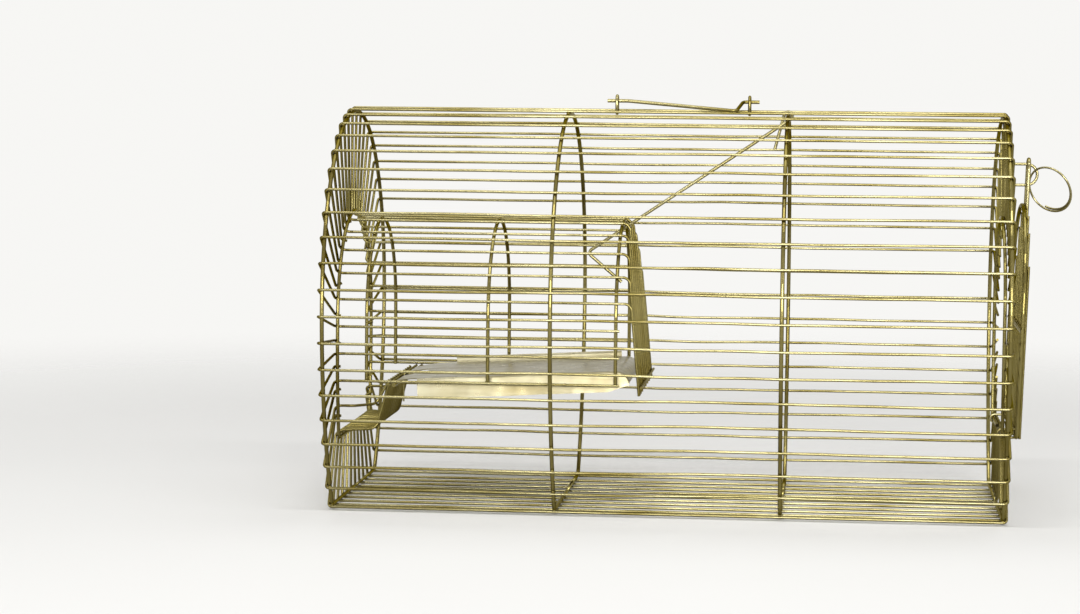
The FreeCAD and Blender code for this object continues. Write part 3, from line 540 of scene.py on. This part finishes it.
tunnel_bars = []
for node in ("tunnel_crest_bar", "tunnel_bars_right", "tunnel_bars_left", "tunnel_rails",
             "tunnel_end_grille", "grille_crossbar"):
    lines = centre_lines(node, BAR_GAUGE, WIRE_SIDES)
    # The leaning grille is the same bars bent down, and it takes the darker coat as painted shade.
    leaning = node in ("tunnel_end_grille", "grille_crossbar")
    wire(node + "_wire", lines, BAR_GAUGE, BAR_BEND, shaded_wire_coat if leaning else lit_wire_coat, "cage",
         [node], sides=10)
    if not leaning:
        tunnel_bars += lines
tunnel_hoops = []
for node in ("tunnel_front_hoop", "tunnel_middle_hoop", "tunnel_end_hoop"):
    lines = [(rounded(points, closed), closed)
             for points, closed in centre_lines(node, RING_GAUGE, WIRE_SIDES)]
    wire(node + "_wire", lines, RING_GAUGE, BAR_BEND, shaded_wire_coat, "cage", [node])
    tunnel_hoops += lines
beads("tunnel_weld_beads", crossings(tunnel_bars, tunnel_hoops, BAR_GAUGE, 0.004), BEAD_REACH, shaded_wire_coat,
      "cage", 7)
FOOT_REACH = 0.0019
feet = [(line[end], Vector((0, 0, 1))) for line, _ in tunnel_hoops for end in (0, -1)]
beads("tunnel_hoop_feet", feet, FOOT_REACH, shaded_wire_coat, "cage", 9)


# Rear face wires and door opening ring
# The long bars turn over the rear hoop and end just past the arched ring of the door opening.

for node in ("rear_face_wire_crest", "rear_face_wires_right", "rear_face_wires_left",
             "rear_face_wires_lower"):
    wire(node + "_bent", centre_lines(node, BAR_GAUGE, WIRE_SIDES), BAR_GAUGE, BAR_BEND, shaded_wire_coat, "cage",
         [node], sides=10)
opening_lines = [(rounded(points, closed), closed)
                 for points, closed in centre_lines("door_opening_ring", RING_GAUGE, WIRE_SIDES)]
wire("door_opening_ring_wire", opening_lines, RING_GAUGE, BAR_BEND, shaded_wire_coat, "cage",
     ["door_opening_ring"])


# Door
# Arched frame of 2.5 mm wire with nine thin bars across its outside and a crossbar. Its bottom bar turns
# in two closed wire loops on the opening ring.

DOOR_GAUGE = 0.00125
LOOP_GAUGE = 0.0008
TONGUE_GAUGE = 0.0012
door_lines = [(rounded(points, closed), closed)
              for points, closed in centre_lines("door_frame", DOOR_GAUGE, WIRE_SIDES)]
wire("door_frame_wire", door_lines, DOOR_GAUGE, BAR_BEND, shaded_wire_coat, "door", ["door_frame"])
wire("door_bars_wire", centre_lines("door_bars", BAR_GAUGE, WIRE_SIDES), BAR_GAUGE, 0.0, shaded_wire_coat, "door",
     ["door_bars"], sides=10)
wire("door_crossbar_wire", centre_lines("door_crossbar", DOOR_GAUGE, WIRE_SIDES), DOOR_GAUGE, 0.0,
     shaded_wire_coat, "door", ["door_crossbar"])
tongue_lines = [(rounded(points, closed), closed)
                for points, closed in centre_lines("door_tongue", TONGUE_GAUGE, WIRE_SIDES)]
wire("door_tongue_wire", tongue_lines, TONGUE_GAUGE, BAR_BEND, lit_wire_coat, "door",
     ["door_tongue"])
loop_lines = [(rounded(points, closed), closed)
              for points, closed in centre_lines("door_hinge_loops", LOOP_GAUGE, WIRE_SIDES)]
wire("door_hinge_loops_wire", loop_lines, LOOP_GAUGE, BAR_BEND, lit_wire_coat, "cage",
     ["door_hinge_loops"])


# Latch
# A staple of bent wire comes through the tongue of the door, and a split ring through it keeps it shut.

STAPLE_GAUGE = 0.0009
SPLIT_RING_GAUGE = 0.0007
staple_lines = [(rounded(points, closed), closed)
                for points, closed in centre_lines("latch_staple", STAPLE_GAUGE, WIRE_SIDES)]
wire("latch_staple_wire", staple_lines, STAPLE_GAUGE, BAR_BEND, lit_wire_coat, "cage",
     ["latch_staple"])


def split_turns(line):
    """One and a half turns of wire that lie side by side, wound on the circle through the line."""
    centre = sum(line, Vector()) / len(line)
    flat = (line[0] - centre).cross(line[len(line) // 4] - centre).normalized()
    across = flat.cross(Vector((0, 0, 1))).normalized()
    across *= math.copysign(1, across.x)
    up = across.cross(flat)
    up *= math.copysign(1, up.z)
    radius = (line[0] - centre).length - SPLIT_INSET
    turns = []
    for step in range(SPLIT_STEPS + 1):
        share = SPLIT_TURNS * step / SPLIT_STEPS
        angle = SPLIT_START + 2 * math.pi * share
        crossing = min(max((share - SPLIT_OVERLAP) / (1 - SPLIT_OVERLAP), 0), 1)
        layer = SPLIT_LAYER * (2 * crossing * crossing * (3 - 2 * crossing) - 1)
        reach = across * math.cos(angle) + up * math.sin(angle)
        turns.append(centre + reach * (radius + layer) + across.cross(up) * layer)
    return turns


SPLIT_TURNS = 1.463
SPLIT_OVERLAP = SPLIT_TURNS - 1
SPLIT_START = math.radians(-119)
SPLIT_STEPS = 72
SPLIT_GAUGE = 0.00064
SPLIT_INSET = 0.0003
SPLIT_LAYER = 0.0005
ring_line = centre_lines("latch_ring", SPLIT_RING_GAUGE, WIRE_SIDES)[0][0]
wire("latch_ring_wire", [(split_turns(ring_line), False)], SPLIT_GAUGE, 0.0, lit_wire_coat, "ring",
     ["latch_ring"])


# Tilting plate, pivot rod and spring
# Thin bright zinc-coated sheet, folded down on both sides, hung on a wire rod at the top of the step and
# lifted back by a small coil spring.

PIVOT_GAUGE = 0.0012
SPRING_GAUGE = 0.0005
wire("pivot_rod_wire", centre_lines("pivot_rod", PIVOT_GAUGE, WIRE_SIDES), PIVOT_GAUGE, 0.0, shaded_wire_coat,
     "cage", ["pivot_rod"])
spring_lines = [(rounded(points, closed), closed)
                for points, closed in centre_lines("plate_spring", SPRING_GAUGE, WIRE_SIDES)]
wire("plate_spring_wire", spring_lines, SPRING_GAUGE, BAR_BEND, lit_wire_coat, "cage",
     ["plate_spring"])


def galvanised(name, pale, deep):
    """Bright zinc coat on sheet: faint crystals, rolling lines along the sheet and a few dull stains."""
    material = bpy.data.materials.new(name)
    material.use_nodes = True
    nodes, link = material.node_tree.nodes, material.node_tree.links.new
    shader = nodes["Principled BSDF"]
    shader.inputs["Metallic"].default_value = 0.8
    coordinates = nodes.new("ShaderNodeTexCoord")
    stretched = nodes.new("ShaderNodeMapping")
    stretched.inputs["Scale"].default_value = (9.0, 160.0, 160.0)
    link(coordinates.outputs["Object"], stretched.inputs["Vector"])
    lines = nodes.new("ShaderNodeTexNoise")
    lines.inputs["Scale"].default_value = 1.0
    lines.inputs["Detail"].default_value = 4.0
    link(stretched.outputs["Vector"], lines.inputs["Vector"])
    crystals = nodes.new("ShaderNodeTexVoronoi")
    crystals.inputs["Scale"].default_value = 130.0
    link(coordinates.outputs["Object"], crystals.inputs["Vector"])
    stains = nodes.new("ShaderNodeTexNoise")
    stains.inputs["Scale"].default_value = 28.0
    stains.inputs["Detail"].default_value = 4.0
    link(coordinates.outputs["Object"], stains.inputs["Vector"])
    mixed = nodes.new("ShaderNodeMix")
    mixed.inputs["Factor"].default_value = 0.5
    link(lines.outputs["Fac"], mixed.inputs["A"])
    link(stains.outputs["Fac"], mixed.inputs["B"])
    tones = nodes.new("ShaderNodeValToRGB")
    tones.color_ramp.elements[0].position = 0.38
    tones.color_ramp.elements[0].color = (*deep, 1.0)
    tones.color_ramp.elements[1].position = 0.58
    tones.color_ramp.elements[1].color = (*pale, 1.0)
    link(mixed.outputs["Result"], tones.inputs["Fac"])
    link(tones.outputs["Color"], shader.inputs["Base Color"])
    rough = nodes.new("ShaderNodeMapRange")
    rough.inputs["To Min"].default_value = 0.24
    rough.inputs["To Max"].default_value = 0.4
    link(crystals.outputs["Distance"], rough.inputs["Value"])
    link(rough.outputs["Result"], shader.inputs["Roughness"])
    bump = nodes.new("ShaderNodeBump")
    bump.inputs["Strength"].default_value = 0.12
    bump.inputs["Distance"].default_value = 0.0001
    link(lines.outputs["Fac"], bump.inputs["Height"])
    link(bump.outputs["Normal"], shader.inputs["Normal"])
    return material


PLATE_PIVOT = Vector((-0.166, 0, 0.07393))
PLATE_SLOPE = math.radians(3.2)
PLATE_LENGTH = 0.1424
PLATE_HALF = 0.0494
PLATE_RISE = 0.00245
PLATE_SHEET = 0.0006
LEAF_LENGTH = 0.0127
LEAF_HALF = 0.048
LEAF_NOTCH_HALF = 0.0125
LEAF_TAPER = 0.006
KNUCKLE_REACH = 0.00132
FOLD_REACH = 0.0012
FOLD_TURN = math.radians(84)
FLANGE_DEPTH = 0.0124
CORNER_CUT = 0.013
LIP_REACH = 0.0084
LIP_TURN = math.radians(83)
HEM_RISE = 0.0034
HEM_START = 0.0247
HEM_END = 0.131
DENT = 0.0003


def dented(place, seed):
    """Small unevenness of thin sheet at a place on the plate."""
    return DENT * noise.noise(Vector((place.x * 28, place.y * 28, place.z * 28 + seed)))


def steps(low, high, count):
    return [low + (high - low) * index / count for index in range(count + 1)]


def panel_half(along):
    """Points of one half of the sheet at a place along it: flange from its edge up, fold and flat top."""
    lip = max(along - (PLATE_LENGTH - LIP_REACH), 0) / LIP_REACH
    x = min(along, PLATE_LENGTH - LIP_REACH) + LIP_REACH * math.sin(lip)
    top = PLATE_RISE - LIP_REACH * (1 - math.cos(lip))
    cut = max(x - (PLATE_LENGTH - CORNER_CUT), 0) / CORNER_CUT
    bottom = PLATE_RISE - FLANGE_DEPTH + (FLANGE_DEPTH - LIP_REACH) * cut
    fold = min(FOLD_REACH, (top - bottom) / 2)
    flat = PLATE_HALF - fold
    drop = fold * (1 - math.cos(FOLD_TURN))
    straight = (top - bottom - drop) / math.sin(FOLD_TURN)
    points = []
    for down in steps(straight, 0, 5):
        points.append(Vector((x, flat + fold * math.sin(FOLD_TURN) + down * math.cos(FOLD_TURN),
                              top - drop - down * math.sin(FOLD_TURN))))
    for turn in steps(FOLD_TURN, 0, 5)[1:]:
        points.append(Vector((x, flat + fold * math.sin(turn), top - fold * (1 - math.cos(turn)))))
    return points + [Vector((x, across, top)) for across in steps(flat, 0, 14)[1:]]


def panel_rows():
    """Rows of points across the folded sheet, from the pivot's end to the lip."""
    rows = []
    for along in steps(LEAF_LENGTH, PLATE_LENGTH - LIP_REACH, 48) + steps(
            PLATE_LENGTH - LIP_REACH, PLATE_LENGTH - LIP_REACH + LIP_REACH * LIP_TURN, 9)[1:]:
        half = panel_half(along)
        row = half + [Vector((point.x, -point.y, point.z)) for point in half[::-1][1:]]
        for point in row:
            lift, push = dented(point, 0), dented(point, 5)
            point.z += lift
            point.y += push
        rows.append(row)
    return rows


def add_sheet(bm, rows, outside):
    """Skin of quads through rows of points, turned so that its first quad faces the outside."""
    grid = [[bm.verts.new(point) for point in row] for row in rows]
    faces = [bm.faces.new(corners) for row, beyond in zip(grid, grid[1:])
             for corners in zip(row, row[1:], beyond[1:], beyond)]
    faces[0].normal_update()
    if faces[0].normal.dot(outside) < 0:
        bmesh.ops.reverse_faces(bm, faces=faces)


def leaf_rows(side):
    """Ear that slopes from the top down to the pivot rod and is rolled round it."""
    profile = [(LEAF_LENGTH + PLATE_SHEET, PLATE_RISE), (LEAF_LENGTH, PLATE_RISE)]
    profile += [(share * LEAF_LENGTH, KNUCKLE_REACH + (PLATE_RISE - KNUCKLE_REACH)
                 * math.sin(share * math.pi / 2)) for share in (0.8, 0.6, 0.4, 0.2)]
    profile += [(KNUCKLE_REACH * math.cos(angle), KNUCKLE_REACH * math.sin(angle))
                for angle in steps(math.radians(90), math.radians(370), 16)]
    rows = []
    for x, z in profile:
        outer = LEAF_HALF - LEAF_TAPER * (1 - min(max(x / LEAF_LENGTH, 0), 1))
        rows.append([Vector((x, side * across, z)) for across in steps(LEAF_NOTCH_HALF, outer, 8)])
    return rows


def hem_rows():
    """Upright edge on the far side, its rim rolled a little outwards."""
    rows = []
    for share, out in ((0, 0), (0.35, 0), (0.7, 0.0001), (0.9, 0.0003), (1, 0.0006)):
        row = []
        for along in steps(HEM_START, HEM_END, 24):
            point = Vector((along, PLATE_HALF - PLATE_SHEET + out, PLATE_RISE + HEM_RISE * share))
            point.y += dented(point, 5)
            row.append(point)
        rows.append(row)
    return rows


sheet_coat = galvanised("sheet_coat", pale=(0.31, 0.285, 0.19), deep=(0.185, 0.155, 0.075))
bm = bmesh.new()
add_sheet(bm, panel_rows(), Vector((0, 1, 0)))
add_sheet(bm, leaf_rows(1), Vector((0, 0, 1)))
add_sheet(bm, leaf_rows(-1), Vector((0, 0, 1)))
add_sheet(bm, hem_rows(), Vector((0, 1, 0)))
bm.normal_update()
bmesh.ops.solidify(bm, geom=bm.faces[:], thickness=PLATE_SHEET)
bmesh.ops.recalc_face_normals(bm, faces=bm.faces)
bmesh.ops.transform(bm, matrix=Matrix.Translation(PLATE_PIVOT) @ Matrix.Rotation(-PLATE_SLOPE, 4, "Y"),
                    verts=bm.verts)
plate_mesh = bpy.data.meshes.new("tilt_plate_sheet")
bm.to_mesh(plate_mesh)
bm.free()
plate_mesh.shade_smooth()
plate_mesh.set_sharp_from_angle(angle=math.radians(50))
plate_mesh.materials.append(sheet_coat)
plate_sheet = bpy.data.objects.new("tilt_plate_sheet", plate_mesh)
bpy.context.scene.collection.objects.link(plate_sheet)
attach(plate_sheet, "plate")
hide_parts("tilt_plate")


# Bait hook
# Stiff wire hung from the rear middle hoop by an open curl, its lower end bent up inside the tunnel.

HOOK_GAUGE = 0.001
HOOK_BEND = 0.0025
wire("bait_hook_wire", centre_lines("bait_hook", HOOK_GAUGE, WIRE_SIDES), HOOK_GAUGE, HOOK_BEND, lit_wire_coat,
     "hook", ["bait_hook"])


# Carrying handle
# Folding bail of bent wire in two closed wire eyes that stand on the crest bar.

HANDLE_GAUGE = 0.0011
EYE_GAUGE = 0.00098
wire("carry_handle_wire", centre_lines("carry_handle", HANDLE_GAUGE, WIRE_SIDES), HANDLE_GAUGE, HOOK_BEND,
     lit_wire_coat, "handle", ["carry_handle"])
for node in ("handle_front_eye", "handle_rear_eye"):
    lines = [(rounded(points, closed), closed)
             for points, closed in centre_lines(node, HANDLE_GAUGE, WIRE_SIDES)]
    wire(node + "_wire", lines, EYE_GAUGE, BAR_BEND, lit_wire_coat, "cage", [node])


# Stage
# Pale paper that runs out into a pale backdrop, lit by a large soft light above, a narrow bright one that
# draws the lines along the wires, and weaker ones in front and at both sides.

FLOOR_REACH = 1.25
FLOOR_EVEN = 0.3
BACKDROP = (0.93, 0.925, 0.905, 1.0)
bm = bmesh.new()
bmesh.ops.create_circle(bm, cap_ends=True, segments=96, radius=FLOOR_REACH)
floor_mesh = bpy.data.meshes.new("floor")
bm.to_mesh(floor_mesh)
bm.free()
floor = bpy.data.objects.new("floor", floor_mesh)
bpy.context.scene.collection.objects.link(floor)
paper = bpy.data.materials.new("paper")
paper.use_nodes = True
paper_nodes, paper_link = paper.node_tree.nodes, paper.node_tree.links.new
paper_shader = paper_nodes["Principled BSDF"]
paper_shader.inputs["Roughness"].default_value = 0.95
paper_shader.inputs["Specular IOR Level"].default_value = 0.1
paper_coordinates = paper_nodes.new("ShaderNodeTexCoord")
paper_noise = paper_nodes.new("ShaderNodeTexNoise")
paper_noise.inputs["Scale"].default_value = 3.0
paper_link(paper_coordinates.outputs["Object"], paper_noise.inputs["Vector"])
paper_tones = paper_nodes.new("ShaderNodeValToRGB")
paper_tones.color_ramp.elements[0].color = (0.87, 0.865, 0.845, 1.0)
paper_tones.color_ramp.elements[1].color = (0.90, 0.895, 0.875, 1.0)
paper_link(paper_noise.outputs["Fac"], paper_tones.inputs["Fac"])
paper_link(paper_tones.outputs["Color"], paper_shader.inputs["Base Color"])
paper_away = paper_nodes.new("ShaderNodeVectorMath")
paper_away.operation = "LENGTH"
paper_link(paper_coordinates.outputs["Object"], paper_away.inputs["Vector"])
paper_fade = paper_nodes.new("ShaderNodeMapRange")
paper_fade.interpolation_type = "SMOOTHSTEP"
paper_fade.inputs["From Min"].default_value = FLOOR_EVEN
paper_fade.inputs["From Max"].default_value = FLOOR_REACH
paper_link(paper_away.outputs["Value"], paper_fade.inputs["Value"])
paper_out = paper_nodes.new("ShaderNodeBsdfTransparent")
paper_edge = paper_nodes.new("ShaderNodeMixShader")
paper_link(paper_fade.outputs["Result"], paper_edge.inputs["Fac"])
paper_link(paper_shader.outputs["BSDF"], paper_edge.inputs[1])
paper_link(paper_out.outputs["BSDF"], paper_edge.inputs[2])
paper_link(paper_edge.outputs["Shader"], paper_nodes["Material Output"].inputs["Surface"])
floor_mesh.materials.append(paper)


def soft_light(name, place, target, width, height, power):
    light = bpy.data.lights.new(name, "AREA")
    light.shape = "RECTANGLE"
    light.size = width
    light.size_y = height
    light.energy = power
    thing = bpy.data.objects.new(name, light)
    thing.location = place
    thing.rotation_euler = (Vector(target) - Vector(place)).to_track_quat("-Z", "Y").to_euler()
    bpy.context.scene.collection.objects.link(thing)


soft_light("overhead", (0.0, 0.6, 2.0), (0, 0.5, 0), 2.6, 1.2, 19)
soft_light("crisp", (0.0, -1.0, 1.8), (0, 0, 0.1), 3.0, 0.25, 26)
soft_light("front", (0.4, -2.6, 0.5), (0, 0, 0.1), 1.6, 0.6, 54)
soft_light("left", (-1.3, -1.5, 0.45), (0, 0, 0.1), 0.3, 0.9, 6)
soft_light("right", (1.7, -1.2, 0.45), (0, 0, 0.1), 0.3, 0.9, 4)

world = bpy.data.worlds.new("studio")
bpy.context.scene.world = world
world.use_nodes = True
world_nodes, world_link = world.node_tree.nodes, world.node_tree.links.new
background = world_nodes["Background"]
backdrop = world_nodes.new("ShaderNodeBackground")
backdrop.inputs["Color"].default_value = BACKDROP
background.inputs["Color"].default_value = (1.0, 0.98, 0.95, 1.0)
background.inputs["Strength"].default_value = 0.07
seen = world_nodes.new("ShaderNodeLightPath")
in_metal = world_nodes.new("ShaderNodeMath")
in_metal.operation = "MAXIMUM"
world_link(seen.outputs["Is Glossy Ray"], in_metal.inputs[0])
world_link(seen.outputs["Is Transmission Ray"], in_metal.inputs[1])
in_view = world_nodes.new("ShaderNodeMath")
in_view.operation = "MAXIMUM"
world_link(seen.outputs["Is Camera Ray"], in_view.inputs[0])
world_link(in_metal.outputs["Value"], in_view.inputs[1])
chosen = world_nodes.new("ShaderNodeMixShader")
world_link(in_view.outputs["Value"], chosen.inputs["Fac"])
world_link(background.outputs["Background"], chosen.inputs[1])
world_link(backdrop.outputs["Background"], chosen.inputs[2])
world_link(chosen.outputs["Shader"], world_nodes["World Output"].inputs["Surface"])

CAMERA_PLACE = Vector((0.0978, -1.7821, 0.2586))
CAMERA_YAW = math.radians(-5.804)
CAMERA_PITCH = math.radians(-4.48)
CAMERA_ROLL = math.radians(0.541)
camera_data = bpy.data.cameras.new("camera")
camera_data.sensor_width = 36.0
camera_data.lens = 96.1
camera = bpy.data.objects.new("camera", camera_data)
ahead = Vector((math.sin(CAMERA_YAW) * math.cos(CAMERA_PITCH), math.cos(CAMERA_YAW) * math.cos(CAMERA_PITCH),
                math.sin(CAMERA_PITCH)))
level = Vector((math.cos(CAMERA_YAW), -math.sin(CAMERA_YAW), 0))
above = level.cross(ahead)
right = level * math.cos(CAMERA_ROLL) + above * math.sin(CAMERA_ROLL)
up = above * math.cos(CAMERA_ROLL) - level * math.sin(CAMERA_ROLL)
camera.matrix_world = Matrix.Translation(CAMERA_PLACE) @ Matrix((right, up, -ahead)).transposed().to_4x4()
bpy.context.scene.collection.objects.link(camera)
bpy.context.scene.camera = camera
bpy.context.scene.view_settings.view_transform = "Standard"
